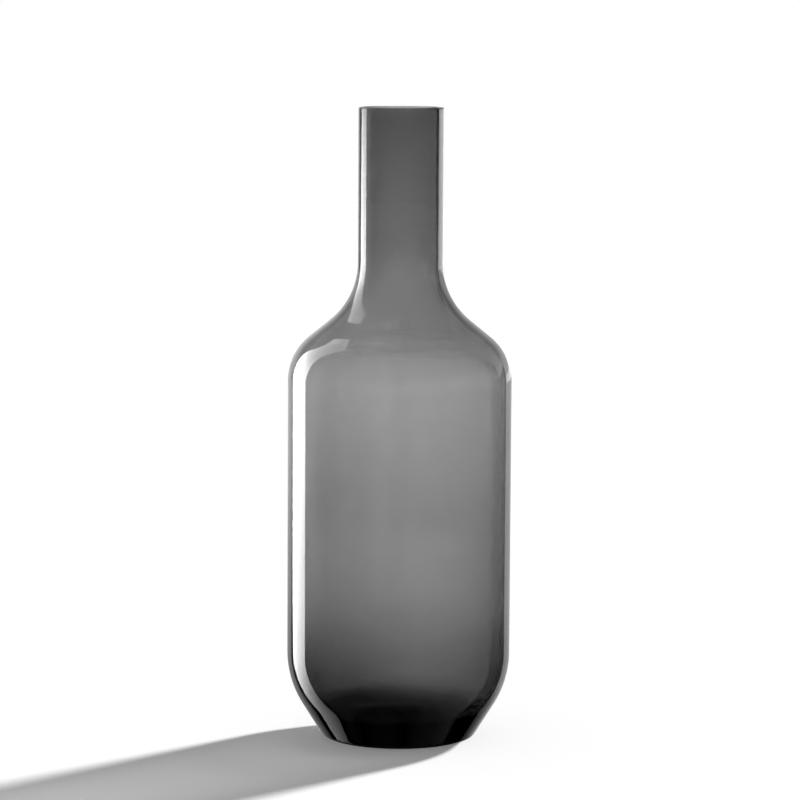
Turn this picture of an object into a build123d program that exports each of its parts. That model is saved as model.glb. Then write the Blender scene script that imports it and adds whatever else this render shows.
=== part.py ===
from build123d import *
import os
from math import cos, radians, sin, tan
from typing import NamedTuple

# Bottle vase of cased glass: a smoke-grey lining fused inside a clear casing.
# Sizes are in millimetres and angles in degrees from upright. +Z is up, and the
# origin is the centre of the foot, on the surface that the vase stands on.

# Outside form. The two heights are where the straight sides would meet unbent.
total_height = 390.0
body_diameter = 138.0
neck_diameter = 52.4
taper_height = 36.0
taper_angle = 32.0
shoulder_height = 238.5
shoulder_angle = 51.0
foot_bend = 6.0
taper_bend = 60.0
shoulder_bend = 34.0
neck_bend = 46.0

# Whole wall, thickness of each stretch with both layers of glass
wall_neck = 3.6
wall_shoulder = 4.1
wall_body = 4.2
wall_belly = 5.1
wall_taper = 5.7
wall_floor = 12.0
wall_floor_bend = 22.0

# Height on the body from which the walls thicken faster towards the foot
gather_height = 80.0

# Smoke lining, its share of that thickness: it thins from the rim to the top of
# the body, where the bubble was blown widest, and swells again towards the floor
lining_rim = 2.3
lining_neck = 1.6
lining_shoulder = 1.2
lining_body = 1.0
lining_gather = 1.6
lining_belly = 2.5
lining_taper = 2.7
lining_floor = 7.0
lining_floor_bend = 10.0

# Fire-polished edges of the mouth, and the ring that the foot stands on
rim_edge = 1.0
mouth_edge = 0.8
foot_ring_width = 8.0
push_up = 1.5

# Share of a straight side that the bends at its two ends may take up, and the
# turn under which two sides count as one
side_share = 0.98
least_turn = 0.01

body_radius = body_diameter / 2
neck_radius = neck_diameter / 2
casing_rim = wall_neck - lining_rim


class Inset(NamedTuple):
    """How far a surface lies within the outside form on each stretch, from the rim down."""

    rim: float = 0
    neck: float = 0
    shoulder: float = 0
    body: float = 0
    gather: float = 0
    belly: float = 0
    taper: float = 0
    floor: float = 0


seam_inset = Inset(
    rim=casing_rim,
    neck=wall_neck - lining_neck,
    shoulder=wall_shoulder - lining_shoulder,
    body=wall_body - lining_body,
    gather=wall_body - lining_gather,
    belly=wall_belly - lining_belly,
    taper=wall_taper - lining_taper,
    floor=wall_floor - lining_floor,
)
hollow_inset = Inset(
    rim=wall_neck,
    neck=wall_neck,
    shoulder=wall_shoulder,
    body=wall_body,
    gather=wall_body,
    belly=wall_belly,
    taper=wall_taper,
    floor=wall_floor,
)


def taper_radius(depth, height):
    """Radius, at a height, of the taper's straight side set in by a depth."""
    slope = radians(taper_angle)
    return body_radius - (taper_height - height) * tan(slope) - depth / cos(slope)


def taper_top(depth, radius):
    """Height where the taper's side, set in by a depth, reaches a radius."""
    slope = radians(taper_angle)
    return taper_height + (depth - (body_radius - radius) * cos(slope)) / sin(slope)


def shoulder_line(depth, radius):
    """Height of the shoulder's straight side, set in by a depth, at a radius."""
    slope = radians(shoulder_angle)
    return shoulder_height + ((body_radius - radius) * cos(slope) - depth) / sin(slope)


def bent_face(corners, bends):
    """Face within an outline, each corner rounded by its bend as far as its sides allow."""
    count = len(corners)
    sides = [Vector(*corners[(i + 1) % count]) - Vector(*corners[i]) for i in range(count)]
    turns = [sides[i - 1].get_angle(sides[i]) for i in range(count)]
    reach = [bends[i] * tan(radians(turns[i] / 2)) for i in range(count)]
    fits = []
    for i in range(count):
        needed = reach[i] + reach[(i + 1) % count]
        room = side_share * sides[i].length
        fits.append(min(1.0, room / needed) if needed > 0 else 1.0)
    turning = [i for i in range(count) if turns[i] > least_turn]
    rounding = [bends[i] * min(fits[i - 1], fits[i]) for i in turning]
    outline = FilletPolyline(*[corners[i] for i in turning], radius=rounding, close=True)
    return make_face(outline)


def bottle_section(inset, floor_bend, top_bend=0):
    """Half section of the bottle form, filled to its axis and set in on each stretch."""
    rim = neck_radius - inset.rim
    neck = neck_radius - inset.neck
    body = body_radius - inset.body
    gather = body_radius - inset.gather
    belly = body_radius - inset.belly
    corners = [
        (0, inset.floor),
        (taper_radius(inset.taper, inset.floor), inset.floor),
        (belly, taper_top(inset.taper, belly)),
        (gather, gather_height),
        (body, shoulder_line(inset.shoulder, body)),
        (neck, shoulder_line(inset.shoulder, neck)),
        (rim, total_height),
        (0, total_height),
    ]
    bends = [
        0,
        floor_bend,
        taper_bend - inset.belly,
        0,
        shoulder_bend - inset.body,
        neck_bend + inset.neck,
        top_bend,
        0,
    ]
    return bent_face(corners, bends)


def outside_section():
    """Everything within the vase's outer surface, with the push-up taken out of the foot."""
    section = bottle_section(Inset(), foot_bend, min(rim_edge, side_share * casing_rim))
    foot_turn = radians(90 - taper_angle)
    ring_outside = taper_radius(0, 0) - foot_bend * tan(foot_turn / 2)
    ring_inside = ring_outside - foot_ring_width
    dome_radius = (ring_inside**2 + push_up**2) / (2 * push_up)
    return section - Pos(0, push_up - dome_radius) * Circle(dome_radius)


def colour_section():
    """Everything within the seam where the clear and the smoke glass meet."""
    return bottle_section(seam_inset, lining_floor_bend)


def hollow_section():
    """The hollow that holds the water and the stems."""
    return bottle_section(hollow_inset, wall_floor_bend)


def turned(section):
    """Solid that a half section sweeps round the vase's axis."""
    return revolve(Plane.XZ * section, Axis.Z)


def clear_casing():
    """Outer layer of colourless glass, from the rim down to the foot ring."""
    return turned(outside_section() - colour_section())


def smoke_lining():
    """Inner layer of smoke-grey glass, with the edge of the mouth melted round."""
    section = colour_section() - hollow_section()
    mouth = (neck_radius - wall_neck, total_height)
    mouth_corner = section.vertices().sort_by_distance(mouth)[0]
    return turned(fillet(mouth_corner, min(mouth_edge, lining_rim / 2)))


os.makedirs("parts", exist_ok=True)
for make_layer in (clear_casing, smoke_lining):
    export_step(make_layer(), f"parts/{make_layer.__name__}.step")
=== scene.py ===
"""Looks of a cased-glass bottle vase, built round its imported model.

The vase is two layers of glass fused face to face: a clear casing outside and a
smoke-grey lining inside. Both are turned about +Z, in metres, and stand on Z = 0.
"""

from __future__ import annotations

import logging
import math
from dataclasses import dataclass, field
from enum import Enum

import bpy
from mathutils import Euler, Matrix, Vector


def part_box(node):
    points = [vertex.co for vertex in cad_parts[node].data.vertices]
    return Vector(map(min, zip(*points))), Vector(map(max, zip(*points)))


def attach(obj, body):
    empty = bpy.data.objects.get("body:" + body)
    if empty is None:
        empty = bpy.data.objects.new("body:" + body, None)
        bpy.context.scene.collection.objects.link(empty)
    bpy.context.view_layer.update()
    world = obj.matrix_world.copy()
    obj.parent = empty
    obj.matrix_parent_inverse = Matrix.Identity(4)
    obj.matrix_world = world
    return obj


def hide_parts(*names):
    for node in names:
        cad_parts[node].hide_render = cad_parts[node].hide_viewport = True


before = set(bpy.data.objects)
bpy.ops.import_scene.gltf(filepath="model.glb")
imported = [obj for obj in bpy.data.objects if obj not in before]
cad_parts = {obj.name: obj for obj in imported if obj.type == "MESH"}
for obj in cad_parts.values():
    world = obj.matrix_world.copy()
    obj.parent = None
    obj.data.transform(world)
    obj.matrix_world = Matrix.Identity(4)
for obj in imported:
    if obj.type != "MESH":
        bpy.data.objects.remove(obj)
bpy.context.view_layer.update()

LOG = logging.getLogger("bottle_vase")
IMAGE_SIDE = 800
SENSOR_WIDTH = 36.0
MM = 0.001
ON_AXIS = 0.001 * MM
GLASS_IOR = 1.5
SAME_GLASS_IOR = 1.0
AIR_ATTRIBUTE = "meets_air"
WHITE = (1.0, 1.0, 1.0, 1.0)
BLACK = (0.0, 0.0, 0.0, 1.0)

Station = tuple[float, float]
Outline = tuple[Station, ...]
Levels = tuple[tuple[float, float], ...]
Color = tuple[float, float, float, float]


class Meets(Enum):
    """What lies on the far side of a stretch of glass surface."""

    SEAM = 0.0
    AIR = 1.0


@dataclass(frozen=True)
class Depths:
    """How far a surface lies inside the vase's outer surface, stretch by stretch."""

    rim: float = 0.0
    neck: float = 0.0
    shoulder: float = 0.0
    body: float = 0.0
    gather: float = 0.0
    belly: float = 0.0
    taper: float = 0.0
    floor: float = 0.0
    floor_bend: float = 6.0 * MM

    def less(self, layer: Depths, floor_bend: float, step: float) -> Depths:
        """Move the surface a layer's thickness nearer the outside.

        Args:
            layer: thickness of the layer on each stretch.
            floor_bend: bend of the new surface at the edge of the floor.
            step: small step back inwards, which keeps fused faces apart.

        Returns:
            The depths of the new surface.
        """
        return Depths(
            self.rim - layer.rim + step,
            self.neck - layer.neck + step,
            self.shoulder - layer.shoulder + step,
            self.body - layer.body + step,
            self.gather - layer.gather + step,
            self.belly - layer.belly + step,
            self.taper - layer.taper + step,
            self.floor - layer.floor + step,
            floor_bend,
        )


@dataclass(frozen=True)
class BottleForm:
    """Outer form of the vase: straight sides and the bends that join them."""

    total_height: float
    body_radius: float
    neck_radius: float = 26.2 * MM
    taper_height: float = 36.0 * MM
    taper_angle: float = math.radians(32.0)
    shoulder_height: float = 238.5 * MM
    shoulder_angle: float = math.radians(51.0)
    taper_bend: float = 60.0 * MM
    shoulder_bend: float = 34.0 * MM
    neck_bend: float = 46.0 * MM
    gather_height: float = 80.0 * MM
    bend_step: float = math.radians(3.0)
    run_step: float = 10.0 * MM
    straight: float = math.radians(0.05)

    def taper_radius(self, depth: float, height: float) -> float:
        """Return the radius of the taper's side, set in by a depth, at a height."""
        rise = (self.taper_height - height) * math.tan(self.taper_angle)
        return self.body_radius - rise - depth / math.cos(self.taper_angle)

    def taper_top(self, depth: float, radius: float) -> float:
        """Return the height where the taper's side, set in by a depth, reaches a radius."""
        across = (self.body_radius - radius) * math.cos(self.taper_angle)
        return self.taper_height + (depth - across) / math.sin(self.taper_angle)

    def shoulder_line(self, depth: float, radius: float) -> float:
        """Return the height of the shoulder's side, set in by a depth, at a radius."""
        across = (self.body_radius - radius) * math.cos(self.shoulder_angle)
        return self.shoulder_height + (across - depth) / math.sin(self.shoulder_angle)

    def surface(self, depths: Depths, floor_start: float = 0.0) -> list[Station]:
        """Trace one surface of the glass from the floor up to the rim.

        Args:
            depths: how far the surface lies inside the outer form.
            floor_start: radius on the floor where the trace begins.

        Returns:
            Radius and height of each station.
        """
        rim = self.neck_radius - depths.rim
        neck = self.neck_radius - depths.neck
        body = self.body_radius - depths.body
        gather = self.body_radius - depths.gather
        belly = self.body_radius - depths.belly
        corners = [
            (floor_start, depths.floor),
            (self.taper_radius(depths.taper, depths.floor), depths.floor),
            (belly, self.taper_top(depths.taper, belly)),
            (gather, self.gather_height),
            (body, self.shoulder_line(depths.shoulder, body)),
            (neck, self.shoulder_line(depths.shoulder, neck)),
            (rim, self.total_height),
        ]
        bends = [
            depths.floor_bend,
            self.taper_bend - depths.belly,
            0.0,
            self.shoulder_bend - depths.body,
            self.neck_bend + depths.neck,
        ]
        return self.bent(corners, bends)

    def bent(self, corners: list[Station], bends: list[float]) -> list[Station]:
        """Round the inner corners of a line and divide its straight runs.

        Args:
            corners: the line's corners.
            bends: bend radius of each corner but the first and last.

        Returns:
            Stations along the rounded line.
        """
        line = [corners[0]]
        for index, bend in enumerate(bends, start=1):
            arc = self.bend(corners[index - 1], corners[index], corners[index + 1], bend)
            self.run_to(line, arc[0])
            line.extend(arc[1:])
        self.run_to(line, corners[-1])
        return line

    def run_to(self, line: list[Station], end: Station) -> None:
        """Extend a line straight to an end point in even steps.

        Args:
            line: stations so far, which the new ones join.
            end: last station to add.
        """
        start = Vector(line[-1])
        way = Vector(end) - start
        steps = max(1, math.ceil(way.length / self.run_step))
        for index in range(1, steps + 1):
            line.append(tuple(start + way * (index / steps)))

    def bend(self, before: Station, corner: Station, after: Station, radius: float) -> list[Station]:
        """Round one corner by an arc.

        Args:
            before: corner that comes before it.
            corner: corner to round.
            after: corner that follows it.
            radius: radius of the arc.

        Returns:
            Stations of the arc, or the corner itself if the line hardly turns there.
        """
        middle = Vector(corner)
        back = (Vector(before) - middle).normalized()
        ahead = (Vector(after) - middle).normalized()
        half_angle = back.angle(ahead) / 2
        centre = middle + (back + ahead).normalized() * (radius / math.sin(half_angle))
        start = middle + back * (radius / math.tan(half_angle)) - centre
        sweep = math.pi - 2 * half_angle
        if back.x * ahead.y - back.y * ahead.x > 0:
            sweep = -sweep
        if radius == 0.0 or abs(sweep) < self.straight:
            return [corner]
        steps = max(2, math.ceil(abs(sweep) / self.bend_step))
        stations = []
        for index in range(steps + 1):
            spoke = Matrix.Rotation(sweep * index / steps, 2) @ start
            stations.append(tuple(centre + spoke))
        return stations


@dataclass
class TurnedGlass:
    """A closed layer of glass turned about the vase's axis."""

    name: str
    segments: int = 144
    sharp_from: float = math.radians(35.0)
    stations: list[Station] = field(default_factory=list)
    meets: list[Meets] = field(default_factory=list)

    def add(self, line: list[Station], meets: Meets) -> None:
        """Add a stretch of the section, in order round the glass.

        Args:
            line: stations of the stretch. It starts where the last stretch ended.
            meets: what the stretch's surface meets.
        """
        new = line[1:] if self.stations else line
        runs = len(new) if self.stations else len(new) - 1
        self.stations.extend(new)
        self.meets.extend([meets] * runs)

    def build(self) -> bpy.types.Object:
        """Turn the section into a smooth closed mesh.

        Returns:
            The object, linked to the scene.
        """
        vertices: list[Vector] = []
        rings: list[list[int]] = []
        for radius, height in self.stations:
            rings.append(self.ring(vertices, radius, height))
        faces: list[list[int]] = []
        marks: list[float] = []
        for lower, upper, meets in zip(rings, rings[1:], self.meets):
            band = self.band(lower, upper)
            faces.extend(band)
            marks.extend([meets.value] * len(band))
        mesh = bpy.data.meshes.new(self.name)
        mesh.from_pydata(vertices, [], faces)
        mesh.attributes.new(AIR_ATTRIBUTE, "FLOAT", "FACE").data.foreach_set("value", marks)
        mesh.shade_smooth()
        mesh.set_sharp_from_angle(angle=self.sharp_from)
        piece = bpy.data.objects.new(self.name, mesh)
        bpy.context.scene.collection.objects.link(piece)
        return piece

    def ring(self, vertices: list[Vector], radius: float, height: float) -> list[int]:
        """Add one ring of vertices, or a single one on the axis.

        Args:
            vertices: vertices so far, which the new ones join.
            radius: radius of the ring.
            height: height of the ring.

        Returns:
            Numbers of the new vertices.
        """
        count = 1 if radius < ON_AXIS else self.segments
        first = len(vertices)
        for index in range(count):
            turn = 2 * math.pi * index / self.segments
            vertices.append(Vector((radius * math.cos(turn), radius * math.sin(turn), height)))
        return list(range(first, first + count))

    def band(self, lower: list[int], upper: list[int]) -> list[list[int]]:
        """Join two rings by faces that look out of the glass.

        Args:
            lower: vertices of the ring that comes first round the section.
            upper: vertices of the next ring.

        Returns:
            Vertices of each face, triangles where a ring is a single vertex.
        """
        faces = []
        for index in range(self.segments):
            ahead = (index + 1) % self.segments
            loop = [lower[index % len(lower)], lower[ahead % len(lower)]]
            loop += [upper[ahead % len(upper)], upper[index % len(upper)]]
            faces.append(list(dict.fromkeys(loop)))
        return faces


class NodeKit:
    """Arithmetic on the sockets of one node tree."""

    def __init__(self, tree: bpy.types.NodeTree) -> None:
        """Work in a node tree, which the new nodes join."""
        self.nodes = tree.nodes
        self.links = tree.links

    def parts(self, vector: bpy.types.NodeSocket) -> bpy.types.NodeOutputs:
        """Return the X, Y and Z of a vector."""
        split = self.nodes.new("ShaderNodeSeparateXYZ")
        self.links.new(vector, split.inputs["Vector"])
        return split.outputs

    def fade(
        self,
        value: bpy.types.NodeSocket,
        ends: tuple[float, float],
        levels: tuple[float, float] = (0.0, 1.0),
    ) -> bpy.types.NodeSocket:
        """Make a level that changes evenly with a value.

        Args:
            value: the value that the level follows.
            ends: values at which the change starts and stops.
            levels: levels at those ends and beyond them.

        Returns:
            The level.
        """
        fade = self.nodes.new("ShaderNodeMapRange")
        fade.inputs["From Min"].default_value = ends[0]
        fade.inputs["From Max"].default_value = ends[1]
        fade.inputs["To Min"].default_value = levels[0]
        fade.inputs["To Max"].default_value = levels[1]
        self.links.new(value, fade.inputs["Value"])
        return fade.outputs["Result"]

    def follow(self, value: bpy.types.NodeSocket, levels: Levels) -> bpy.types.NodeSocket:
        """Make a level that follows a list.

        Args:
            value: the value that the level follows.
            levels: values, rising, each with its level.

        Returns:
            The level, as a grey.
        """
        low, high = levels[0][0], levels[-1][0]
        ramp = self.nodes.new("ShaderNodeValToRGB")
        stops = ramp.color_ramp.elements
        while len(stops) < len(levels):
            stops.new(1.0)
        for stop, (place, level) in zip(stops, levels):
            stop.position = (place - low) / (high - low)
            stop.color = (level, level, level, 1.0)
        self.links.new(self.fade(value, (low, high)), ramp.inputs["Fac"])
        return ramp.outputs["Color"]

    def join(self, operation: str, *levels: bpy.types.NodeSocket) -> bpy.types.NodeSocket:
        """Join several levels into one.

        Args:
            operation: ADD, MULTIPLY or MAXIMUM.
            levels: the levels to join.

        Returns:
            Their sum, product or maximum.
        """
        result = levels[0]
        for level in levels[1:]:
            pair = self.nodes.new("ShaderNodeMath")
            pair.operation = operation
            self.links.new(result, pair.inputs[0])
            self.links.new(level, pair.inputs[1])
            result = pair.outputs["Value"]
        return result

    def choose(
        self,
        share: bpy.types.NodeSocket,
        none: bpy.types.NodeSocket | float,
        full: bpy.types.NodeSocket | float,
    ) -> bpy.types.NodeSocket:
        """Make a level that goes from one level to another with a share.

        Args:
            share: 0 for the first level and 1 for the second.
            none: the first level.
            full: the second level.

        Returns:
            The level.
        """
        mix = self.nodes.new("ShaderNodeMix")
        mix.data_type = "FLOAT"
        self.links.new(share, mix.inputs["Factor"])
        for name, level in (("A", none), ("B", full)):
            if isinstance(level, float):
                mix.inputs[name].default_value = level
            else:
                self.links.new(level, mix.inputs[name])
        return mix.outputs["Result"]


class HandWorked:
    """Shared surface of hand-worked glass: slow ripples, drawn streaks and a trace of haze."""

    NAME = "hand_worked_glass"
    INPUTS = (("Ripple Scale", 16.0), ("Streak Scale", 130.0), ("Haze", 0.012))
    OUTPUTS = ("Height", "Streak", "Roughness")
    DRAWN_OUT = (1.0, 1.0, 0.06)
    RIPPLE_DETAIL = 1.0
    STREAK_DETAIL = 2.0
    STREAK_HEIGHT = 0.06

    @classmethod
    def group(cls) -> bpy.types.NodeTree:
        """Return the shared node group, built on first use."""
        return bpy.data.node_groups.get(cls.NAME) or cls.build()

    @classmethod
    def build(cls) -> bpy.types.NodeTree:
        """Build the node group.

        Returns:
            The group, with a height for bump, a streak mask and a roughness.
        """
        tree = bpy.data.node_groups.new(cls.NAME, "ShaderNodeTree")
        for name, value in cls.INPUTS:
            socket = tree.interface.new_socket(name, in_out="INPUT", socket_type="NodeSocketFloat")
            socket.default_value = value
        for name in cls.OUTPUTS:
            tree.interface.new_socket(name, in_out="OUTPUT", socket_type="NodeSocketFloat")
        kit = NodeKit(tree)
        nodes = tree.nodes
        links = tree.links
        given = nodes.new("NodeGroupInput")
        result = nodes.new("NodeGroupOutput")
        place = nodes.new("ShaderNodeTexCoord")
        drawn = nodes.new("ShaderNodeMapping")
        drawn.inputs["Scale"].default_value = cls.DRAWN_OUT
        links.new(place.outputs["Object"], drawn.inputs["Vector"])
        ripple = nodes.new("ShaderNodeTexNoise")
        ripple.inputs["Detail"].default_value = cls.RIPPLE_DETAIL
        links.new(place.outputs["Object"], ripple.inputs["Vector"])
        links.new(given.outputs["Ripple Scale"], ripple.inputs["Scale"])
        streak = nodes.new("ShaderNodeTexNoise")
        streak.inputs["Detail"].default_value = cls.STREAK_DETAIL
        links.new(drawn.outputs["Vector"], streak.inputs["Vector"])
        links.new(given.outputs["Streak Scale"], streak.inputs["Scale"])
        height = nodes.new("ShaderNodeMath")
        height.operation = "MULTIPLY_ADD"
        height.inputs[1].default_value = cls.STREAK_HEIGHT
        links.new(streak.outputs["Fac"], height.inputs[0])
        links.new(ripple.outputs["Fac"], height.inputs[2])
        haze = kit.join("MULTIPLY", ripple.outputs["Fac"], given.outputs["Haze"])
        links.new(height.outputs["Value"], result.inputs["Height"])
        links.new(streak.outputs["Fac"], result.inputs["Streak"])
        links.new(haze, result.inputs["Roughness"])
        return tree


class GlassMaker(NodeKit):
    """Builds one glass material, which lets lamps through to the floor."""

    STREAK_ENDS = (0.3, 0.7)

    def __init__(self, name: str, ior: float) -> None:
        """Start a plain glass.

        Args:
            name: name of the material.
            ior: refractive index across its faces.
        """
        self.material = bpy.data.materials.new(name)
        self.material.use_nodes = True
        super().__init__(self.material.node_tree)
        self.shader = self.nodes["Principled BSDF"]
        self.output = self.nodes["Material Output"]
        self.shader.inputs["Base Color"].default_value = WHITE
        self.shader.inputs["Roughness"].default_value = 0.0
        self.shader.inputs["Transmission Weight"].default_value = 1.0
        self.shader.inputs["IOR"].default_value = ior
        path = self.nodes.new("ShaderNodeLightPath")
        self.lamp_side = self.nodes.new("ShaderNodeBsdfTransparent")
        choice = self.nodes.new("ShaderNodeMixShader")
        self.links.new(path.outputs["Is Shadow Ray"], choice.inputs["Fac"])
        self.links.new(self.shader.outputs["BSDF"], choice.inputs[1])
        self.links.new(self.lamp_side.outputs["BSDF"], choice.inputs[2])
        self.links.new(choice.outputs["Shader"], self.output.inputs["Surface"])

    def work_surface(self, depth: float, tints: tuple[float, float]) -> bpy.types.NodeSocket:
        """Give the surface its ripples and haze.

        Args:
            depth: height of the ripples in metres.
            tints: grey of the darkest and the lightest streak.

        Returns:
            Shade of the drawn streaks.
        """
        worked = self.nodes.new("ShaderNodeGroup")
        worked.node_tree = HandWorked.group()
        bump = self.nodes.new("ShaderNodeBump")
        bump.inputs["Distance"].default_value = depth
        self.links.new(worked.outputs["Height"], bump.inputs["Height"])
        self.links.new(bump.outputs["Normal"], self.shader.inputs["Normal"])
        self.links.new(worked.outputs["Roughness"], self.shader.inputs["Roughness"])
        return self.fade(worked.outputs["Streak"], self.STREAK_ENDS, tints)

    def by_height(self, tints: Levels) -> bpy.types.NodeSocket:
        """Return a shade that follows the height above the foot."""
        place = self.nodes.new("ShaderNodeTexCoord")
        return self.follow(self.parts(place.outputs["Object"])["Z"], tints)

    def tint(self, shade: bpy.types.NodeSocket) -> None:
        """Tint the light that passes the surface, from lamps as well."""
        self.links.new(shade, self.shader.inputs["Base Color"])
        self.links.new(shade, self.lamp_side.inputs["Color"])

    def fuse_seam(self) -> None:
        """Let light pass straight through the faces that are fused to other glass."""
        mark = self.nodes.new("ShaderNodeAttribute")
        mark.attribute_name = AIR_ATTRIBUTE
        faces = (Meets.SEAM.value, Meets.AIR.value)
        index = self.fade(mark.outputs["Fac"], faces, (SAME_GLASS_IOR, GLASS_IOR))
        self.links.new(index, self.shader.inputs["IOR"])

    def fill(self, color: Color, density: float) -> None:
        """Fill the glass with smoke that deepens with the way through it.

        Args:
            color: colour of the smoke.
            density: how fast it takes up light, per metre.
        """
        smoke = self.nodes.new("ShaderNodeVolumeAbsorption")
        smoke.inputs["Color"].default_value = color
        smoke.inputs["Density"].default_value = density
        self.links.new(smoke.outputs["Volume"], self.output.inputs["Volume"])


@dataclass(frozen=True)
class ClearGlass:
    """Finish of the casing: colourless glass, polished by fire."""

    name: str = "clear_glass"
    streak_tints: tuple[float, float] = (0.985, 1.0)
    ripple_depth: float = 0.02 * MM

    def skin(self) -> bpy.types.Material:
        """Return the material of the faces that meet the air."""
        maker = GlassMaker(self.name, GLASS_IOR)
        maker.tint(maker.work_surface(self.ripple_depth, self.streak_tints))
        return maker.material

    def seam(self) -> bpy.types.Material:
        """Return the material of the faces fused to the lining."""
        return GlassMaker(self.name + "_seam", SAME_GLASS_IOR).material


@dataclass(frozen=True)
class SmokeGlass:
    """Finish of the lining: grey glass, deepest at the rim and towards the foot."""

    name: str = "smoke_glass"
    streak_tints: tuple[float, float] = (0.975, 1.0)
    ripple_depth: float = 0.02 * MM
    smoke_color: Color = (0.02, 0.02, 0.02, 1.0)
    smoke_density: float = 530.0
    tints_by_height: Levels = (
        (0.0 * MM, 0.1),
        (10.0 * MM, 0.2),
        (18.0 * MM, 0.75),
        (25.0 * MM, 0.97),
        (34.0 * MM, 1.0),
        (246.0 * MM, 1.0),
        (254.0 * MM, 0.95),
        (262.0 * MM, 1.0),
        (283.0 * MM, 1.0),
        (307.0 * MM, 0.935),
        (332.0 * MM, 0.93),
        (356.0 * MM, 0.89),
        (387.0 * MM, 0.82),
        (389.0 * MM, 1.0),
    )

    def material(self) -> bpy.types.Material:
        """Return the material of the whole lining."""
        maker = GlassMaker(self.name, GLASS_IOR)
        streaks = maker.work_surface(self.ripple_depth, self.streak_tints)
        maker.tint(maker.join("MULTIPLY", streaks, maker.by_height(self.tints_by_height)))
        maker.fuse_seam()
        maker.fill(self.smoke_color, self.smoke_density)
        return maker.material


@dataclass
class Vase:
    """The two glass layers, their sizes and their finishes."""

    form: BottleForm
    wall: Depths = Depths(
        rim=3.6 * MM,
        neck=3.6 * MM,
        shoulder=4.1 * MM,
        body=4.2 * MM,
        gather=4.2 * MM,
        belly=5.1 * MM,
        taper=5.7 * MM,
        floor=12.0 * MM,
        floor_bend=22.0 * MM,
    )
    smoke: Depths = Depths(
        rim=2.3 * MM,
        neck=1.6 * MM,
        shoulder=1.2 * MM,
        body=1.0 * MM,
        gather=1.6 * MM,
        belly=2.5 * MM,
        taper=2.7 * MM,
        floor=7.0 * MM,
    )
    seam_floor_bend: float = 10.0 * MM
    seam_gap: float = 0.02 * MM
    rim_edge: float = 1.0 * MM
    mouth_edge: float = 1.8 * MM
    foot_ring_inside: float = 35.2 * MM
    push_up: float = 1.5 * MM
    dome_steps: int = 12
    clear_glass: ClearGlass = ClearGlass()
    smoke_glass: SmokeGlass = SmokeGlass()

    def casing(self) -> bpy.types.Object:
        """Build the clear outer layer.

        Returns:
            The layer, dressed and riding on its body.
        """
        form = self.form
        glass = TurnedGlass("clear_casing_glass")
        glass.add(self.foot_dome(), Meets.AIR)
        outside = form.surface(Depths(), self.foot_ring_inside)
        seam = form.surface(self.wall.less(self.smoke, self.seam_floor_bend, -self.seam_gap / 2))
        rim = [outside[-2], (form.neck_radius, form.total_height), seam[-1]]
        glass.add(outside[:-1], Meets.AIR)
        glass.add(form.bent(rim, [self.rim_edge]), Meets.AIR)
        glass.add(seam[::-1], Meets.SEAM)
        piece = glass.build()
        self.dress_casing(piece)
        return piece

    def foot_dome(self) -> list[Station]:
        """Trace the shallow push-up under the foot.

        Returns:
            Stations from the axis to the foot ring.
        """
        dome = []
        for index in range(self.dome_steps + 1):
            share = index / self.dome_steps
            dome.append((self.foot_ring_inside * share, self.push_up * (1 - share * share)))
        return dome

    def dress_casing(self, piece: bpy.types.Object) -> None:
        """Give the casing its glass, with the seam faces on a slot of their own.

        Args:
            piece: the casing.
        """
        mesh = piece.data
        mesh.materials.append(self.clear_glass.skin())
        mesh.materials.append(self.clear_glass.seam())
        marks = mesh.attributes[AIR_ATTRIBUTE].data
        slots = [0 if Meets(mark.value) is Meets.AIR else 1 for mark in marks]
        mesh.polygons.foreach_set("material_index", slots)
        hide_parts("clear_casing")
        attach(piece, "root")

    def lining(self) -> bpy.types.Object:
        """Build the smoke-grey inner layer.

        Returns:
            The layer, dressed and riding on its body.
        """
        form = self.form
        glass = TurnedGlass("smoke_lining_glass")
        seam = form.surface(self.wall.less(self.smoke, self.seam_floor_bend, self.seam_gap / 2))
        hollow = form.surface(self.wall)
        mouth = [seam[-1], (form.neck_radius - self.wall.rim, form.total_height), hollow[-2]]
        glass.add(seam, Meets.SEAM)
        glass.add(form.bent(mouth, [self.mouth_edge]), Meets.AIR)
        glass.add(hollow[-2::-1], Meets.AIR)
        piece = glass.build()
        piece.data.materials.append(self.smoke_glass.material())
        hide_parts("smoke_lining")
        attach(piece, "root")
        return piece


@dataclass(frozen=True)
class RoomPanel:
    """A soft-edged stretch of the room that the glass mirrors.

    Its levels follow the rise of a mirrored ray. It fades in, from none to full, as the
    ray turns across from left (-1) to right (1) and in depth from the camera's side (-1)
    to the far side (1).
    """

    name: str
    levels: Levels
    across: tuple[float, float]
    depth: tuple[float, float]


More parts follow.
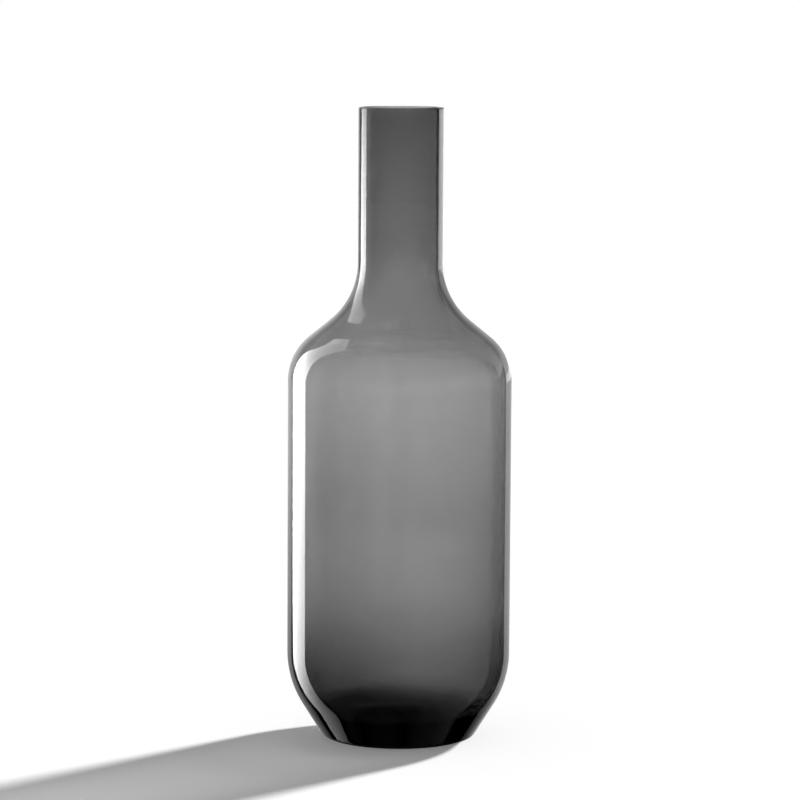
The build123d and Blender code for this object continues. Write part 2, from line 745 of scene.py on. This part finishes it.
@dataclass
class Room:
    """Surroundings: white behind the vase, and a room that only mirrored rays see."""

    ambient: float = 0.2
    backdrop: Levels = ((0.1, 1.0), (0.17, 0.15))
    panels: tuple[RoomPanel, ...] = (
        RoomPanel(
            name="front_left",
            levels=(
                (-1.0, 0.04),
                (-0.9, 0.0),
                (-0.75, 0.06),
                (-0.6, 0.12),
                (-0.45, 0.0),
                (-0.18, 0.0),
                (-0.17, 0.08),
                (-0.16, 0.4),
                (-0.15, 0.5),
                (-0.142, 0.05),
                (-0.13, 0.0),
                (-0.12, 0.3),
                (-0.08, 0.45),
                (-0.04, 0.6),
                (0.2, 0.5),
                (0.6, 0.3),
            ),
            across=(0.4, -0.75),
            depth=(0.36, 0.15),
        ),
        RoomPanel(
            name="front_right",
            levels=(
                (-0.9, 0.0),
                (-0.75, 0.08),
                (-0.65, 0.28),
                (-0.55, 0.45),
                (-0.45, 0.5),
                (-0.3, 0.4),
                (-0.17, 0.25),
                (-0.142, 0.25),
                (-0.132, 0.5),
                (-0.12, 0.6),
                (-0.1, 0.3),
                (-0.08, 0.4),
                (-0.05, 0.65),
                (0.18, 0.7),
                (0.4, 0.15),
                (0.7, 0.05),
            ),
            across=(-0.75, 0.4),
            depth=(0.38, 0.28),
        ),
        RoomPanel(
            name="front_right_haze",
            levels=(
                (-0.8, 0.0),
                (-0.65, 0.2),
                (-0.45, 0.3),
                (-0.3, 0.45),
                (-0.17, 0.68),
                (-0.16, 0.85),
                (-0.15, 0.9),
                (-0.142, 0.0),
            ),
            across=(-0.75, 0.4),
            depth=(0.4, -0.65),
        ),
        RoomPanel(
            name="low_right",
            levels=((-1.0, 0.04), (-0.8, 0.07), (-0.7, 0.08), (-0.6, 0.0)),
            across=(0.4, 0.95),
            depth=(0.38, 0.28),
        ),
        RoomPanel(
            name="wall_left",
            levels=(
                (-0.65, 0.03),
                (-0.57, 0.1),
                (-0.34, 0.35),
                (-0.2, 0.45),
                (-0.17, 0.5),
                (-0.14, 0.68),
                (-0.12, 0.85),
                (-0.09, 0.9),
                (-0.08, 0.0),
                (-0.01, 0.0),
                (0.0, 0.95),
                (0.2, 0.9),
                (0.45, 0.75),
                (0.6, 0.5),
                (0.9, 0.1),
            ),
            across=(0.2, -0.2),
            depth=(0.53, 0.58),
        ),
        RoomPanel(
            name="wall_left_far",
            levels=((-0.09, 0.0), (-0.08, 0.95), (-0.01, 0.95), (0.0, 0.0)),
            across=(-0.62, -0.45),
            depth=(0.53, 0.58),
        ),
        RoomPanel(
            name="wall_right",
            levels=(
                (-0.65, 0.03),
                (-0.57, 0.1),
                (-0.42, 0.4),
                (-0.31, 0.65),
                (0.2, 0.65),
                (0.35, 0.55),
                (0.55, 0.3),
                (0.75, 0.1),
                (0.9, 0.0),
            ),
            across=(-0.2, 0.2),
            depth=(0.53, 0.58),
        ),
        RoomPanel(
            name="side_right",
            levels=(
                (-0.45, 0.0),
                (-0.3, 0.4),
                (-0.1, 0.45),
                (-0.08, 0.75),
                (-0.02, 0.75),
                (0.02, 0.3),
                (0.3, 0.0),
            ),
            across=(0.5, 0.68),
            depth=(0.53, 0.58),
        ),
        RoomPanel(
            name="strip_glow",
            levels=(
                (-0.185, 0.0),
                (-0.17, 0.45),
                (-0.15, 0.9),
                (-0.13, 1.1),
                (0.1, 1.1),
                (0.35, 0.7),
                (0.6, 0.45),
                (1.0, 0.4),
            ),
            across=(-0.6, -0.8),
            depth=(-0.15, 0.25),
        ),
    )

    def build(self) -> None:
        """Make the world, whose level depends on the kind of ray that meets it."""
        world = bpy.data.worlds.new("studio_world")
        bpy.context.scene.world = world
        world.use_nodes = True
        kit = NodeKit(world.node_tree)
        background = kit.nodes["Background"]
        background.inputs["Color"].default_value = WHITE
        rays = kit.nodes.new("ShaderNodeLightPath").outputs
        toward = kit.nodes.new("ShaderNodeTexCoord").outputs["Generated"]
        rise = kit.parts(toward)["Z"]
        level = kit.choose(rays["Is Glossy Ray"], self.ambient, self.mirrored(kit, toward, rise))
        level = kit.choose(rays["Is Transmission Ray"], level, kit.follow(rise, self.backdrop))
        level = kit.choose(rays["Is Camera Ray"], level, 1.0)
        kit.links.new(level, background.inputs["Strength"])

    def mirrored(
        self, kit: NodeKit, toward: bpy.types.NodeSocket, rise: bpy.types.NodeSocket
    ) -> bpy.types.NodeSocket:
        """Add up the panels that a mirrored ray meets.

        Args:
            kit: works in the world's node tree.
            toward: direction of the ray.
            rise: upward part of that direction.

        Returns:
            Level of the room in that direction.
        """
        flat = kit.nodes.new("ShaderNodeVectorMath")
        flat.operation = "MULTIPLY"
        flat.inputs[1].default_value = (1.0, 1.0, 0.0)
        unit = kit.nodes.new("ShaderNodeVectorMath")
        unit.operation = "NORMALIZE"
        kit.links.new(toward, flat.inputs[0])
        kit.links.new(flat.outputs["Vector"], unit.inputs[0])
        level_way = kit.parts(unit.outputs["Vector"])
        shades = []
        for panel in self.panels:
            across = kit.fade(level_way["X"], panel.across)
            depth = kit.fade(level_way["Y"], panel.depth)
            shades.append(kit.join("MULTIPLY", kit.follow(rise, panel.levels), across, depth))
        return kit.join("ADD", *shades)


def stage_card(name: str, corners: list[tuple[float, float, float]]) -> bpy.types.Object:
    """Add one flat stage card.

    Args:
        name: name of the card and its material.
        corners: its corners in order.

    Returns:
        The card, with a material of its own.
    """
    mesh = bpy.data.meshes.new(name)
    mesh.from_pydata(corners, [], [tuple(range(len(corners)))])
    card = bpy.data.objects.new(name, mesh)
    bpy.context.scene.collection.objects.link(card)
    material = bpy.data.materials.new(name)
    material.use_nodes = True
    mesh.materials.append(material)
    return card


@dataclass
class StripLamp:
    """A tall soft strip on the left, seen as the long highlight, and an unlit one on the right.

    Corners of the outlines are a share of the way from front to back, and a height.
    """

    back: tuple[float, float] = (-0.2541, 0.2251)
    front: tuple[float, float] = (-0.4326, 0.1232)
    left: float = 1.0
    right: float = -1.0
    frame_setback: float = 0.002
    strength: float = 10.0
    levels: Levels = (
        (-0.45, 0.055),
        (-0.26, 0.105),
        (-0.17, 0.2),
        (-0.1, 0.38),
        (-0.02, 0.63),
        (0.06, 0.8),
        (0.13, 1.0),
        (0.26, 1.0),
        (0.31, 0.85),
        (0.345, 0.76),
        (0.37, 0.6),
        (0.42, 0.45),
        (0.49, 0.36),
        (0.565, 0.3),
        (0.65, 0.25),
        (0.95, 0.22),
    )
    outline: Outline = (
        (0.88, -0.5),
        (0.0, -0.5),
        (0.0, 0.22),
        (-0.06, 0.28),
        (-0.06, 0.42),
        (-0.13, 0.55),
        (-0.3, 0.71),
        (-0.5, 0.945),
        (0.5, 0.81),
        (0.7, 0.775),
        (0.81, 0.67),
        (1.0, 0.54),
        (0.82, 0.49),
        (0.83, 0.43),
        (0.95, 0.37),
        (1.0, 0.3),
        (1.0, 0.06),
        (0.92, -0.04),
        (0.88, -0.1),
    )
    frame_outline: Outline = (
        (1.12, -0.5),
        (0.85, -0.5),
        (0.85, 0.3),
        (1.01, 0.3),
        (1.01, 0.13),
        (1.12, 0.06),
    )
    unlit_outline: Outline = ((1.0, -0.5), (0.0, -0.5), (0.0, 0.21), (1.0, 0.28))

    def build(self) -> None:
        """Stand the lit strip, its black frame and the unlit strip."""
        self.lit_card()
        self.black_card("strip_frame", self.frame_outline, self.left)
        self.black_card("unlit_strip", self.unlit_outline, self.right)

    def lit_card(self) -> None:
        """Stand the strip itself, which dims towards both ends."""
        strip = self.card("strip_lamp", self.outline, self.left, 0.0)
        kit = NodeKit(strip.data.materials[0].node_tree)
        place = kit.nodes.new("ShaderNodeTexCoord")
        glow = kit.nodes.new("ShaderNodeEmission")
        glow.inputs["Strength"].default_value = self.strength
        height = kit.parts(place.outputs["Object"])["Z"]
        kit.links.new(kit.follow(height, self.levels), glow.inputs["Color"])
        kit.links.new(glow.outputs["Emission"], kit.nodes["Material Output"].inputs["Surface"])

    def black_card(self, name: str, outline: Outline, side: float) -> None:
        """Stand a black card just behind the strip's plane.

        Args:
            name: name of the card.
            outline: corners of the card.
            side: 1 for the left and -1 for the right.
        """
        card = self.card(name, outline, side, self.frame_setback)
        shader = card.data.materials[0].node_tree.nodes["Principled BSDF"]
        shader.inputs["Base Color"].default_value = BLACK
        shader.inputs["Specular IOR Level"].default_value = 0.0

    def card(self, name: str, outline: Outline, side: float, setback: float) -> bpy.types.Object:
        """Stand an upright card that only mirrored rays meet.

        Args:
            name: name of the card.
            outline: corners of the card.
            side: 1 for the left and -1 for the right.
            setback: how far the card stands behind the strip.

        Returns:
            The card.
        """
        front = Vector(self.front)
        reach = Vector(self.back) - front
        away = reach.orthogonal().normalized() * setback
        ends = [(front + reach * share + away, height) for share, height in outline]
        card = stage_card(name, [(side * end.x, end.y, height) for end, height in ends])
        card.visible_camera = False
        card.visible_diffuse = False
        card.visible_transmission = False
        card.visible_shadow = False
        card.data.materials[0].cycles.emission_sampling = "NONE"
        return card


@dataclass
class Studio:
    """Floor, surroundings, lamps and camera."""

    room: Room = field(default_factory=Room)
    strip: StripLamp = field(default_factory=StripLamp)
    floor_side: float = 12.0
    floor_color: Color = (0.95, 0.95, 0.95, 1.0)
    floor_lift: float = 0.15
    key_strength: float = 3.76
    key_azimuth: float = math.radians(47.0)
    key_elevation: float = math.radians(37.0)
    key_angle: float = math.radians(5.0)
    key_distance: float = 3.0
    camera_distance: float = 2.1846
    camera_height: float = 0.4515
    camera_pitch: float = math.radians(6.313)
    camera_roll: float = math.radians(0.324)
    camera_side: float = 0.0002
    focal_pixels: float = 3563.6
    bounces: int = 32

    def build(self) -> None:
        """Set up the whole studio."""
        self.floor()
        self.room.build()
        self.key_lamp()
        self.strip.build()
        self.camera()
        scene = bpy.context.scene
        scene.view_settings.view_transform = "Standard"
        scene.cycles.max_bounces = self.bounces
        scene.cycles.transmission_bounces = self.bounces
        scene.cycles.transparent_max_bounces = self.bounces

    def floor(self) -> None:
        """Lay the pale floor, which shows as white where the lamps reach it."""
        half = self.floor_side / 2
        corners = [(-half, -half, 0), (half, -half, 0), (half, half, 0), (-half, half, 0)]
        floor = stage_card("studio_floor", corners)
        floor.visible_glossy = False
        kit = NodeKit(floor.data.materials[0].node_tree)
        shader = kit.nodes["Principled BSDF"]
        shader.inputs["Base Color"].default_value = self.floor_color
        shader.inputs["Roughness"].default_value = 1.0
        shader.inputs["Specular IOR Level"].default_value = 0.0
        shader.inputs["Emission Color"].default_value = WHITE
        rays = kit.nodes.new("ShaderNodeLightPath").outputs
        seen = [rays["Is Camera Ray"], rays["Is Glossy Ray"], rays["Is Transmission Ray"]]
        lift = kit.choose(kit.join("MAXIMUM", *seen), 0.0, self.floor_lift)
        kit.links.new(lift, shader.inputs["Emission Strength"])

    def key_lamp(self) -> None:
        """Hang the lamp behind on the right, which throws the shadow on the floor."""
        lamp = bpy.data.lights.new("key_lamp", "SUN")
        lamp.energy = self.key_strength
        lamp.angle = self.key_angle
        key = bpy.data.objects.new("key_lamp", lamp)
        bpy.context.scene.collection.objects.link(key)
        flat = math.cos(self.key_elevation)
        place = Vector((
            flat * math.cos(self.key_azimuth),
            flat * math.sin(self.key_azimuth),
            math.sin(self.key_elevation),
        ))
        key.rotation_euler = place.to_track_quat("Z", "Y").to_euler()
        key.location = place * self.key_distance
        key.visible_glossy = False
        key.visible_transmission = False

    def camera(self) -> None:
        """Set the camera at the photograph's place, height and tilt."""
        data = bpy.data.cameras.new("main_camera")
        data.sensor_width = SENSOR_WIDTH
        data.lens = self.focal_pixels / IMAGE_SIDE * SENSOR_WIDTH
        camera = bpy.data.objects.new("main_camera", data)
        bpy.context.scene.collection.objects.link(camera)
        camera.location = (self.camera_side, -self.camera_distance, self.camera_height)
        aim = Euler((math.pi / 2 - self.camera_pitch, 0.0, 0.0)).to_matrix()
        roll = Matrix.Rotation(self.camera_roll, 3, "Z")
        camera.rotation_euler = (aim @ roll).to_euler()
        bpy.context.scene.camera = camera


def main() -> None:
    """Build the vase and the studio, and report each piece."""
    logging.basicConfig(level=logging.INFO, format="%(name)s: %(message)s")
    low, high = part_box("clear_casing")
    form = BottleForm(total_height=high[2], body_radius=(high[0] - low[0]) / 2)
    vase = Vase(form)
    for piece in (vase.casing(), vase.lining()):
        LOG.info("%s: %d faces", piece.name, len(piece.data.polygons))
    Studio().build()


if __name__ == "__main__":
    main()
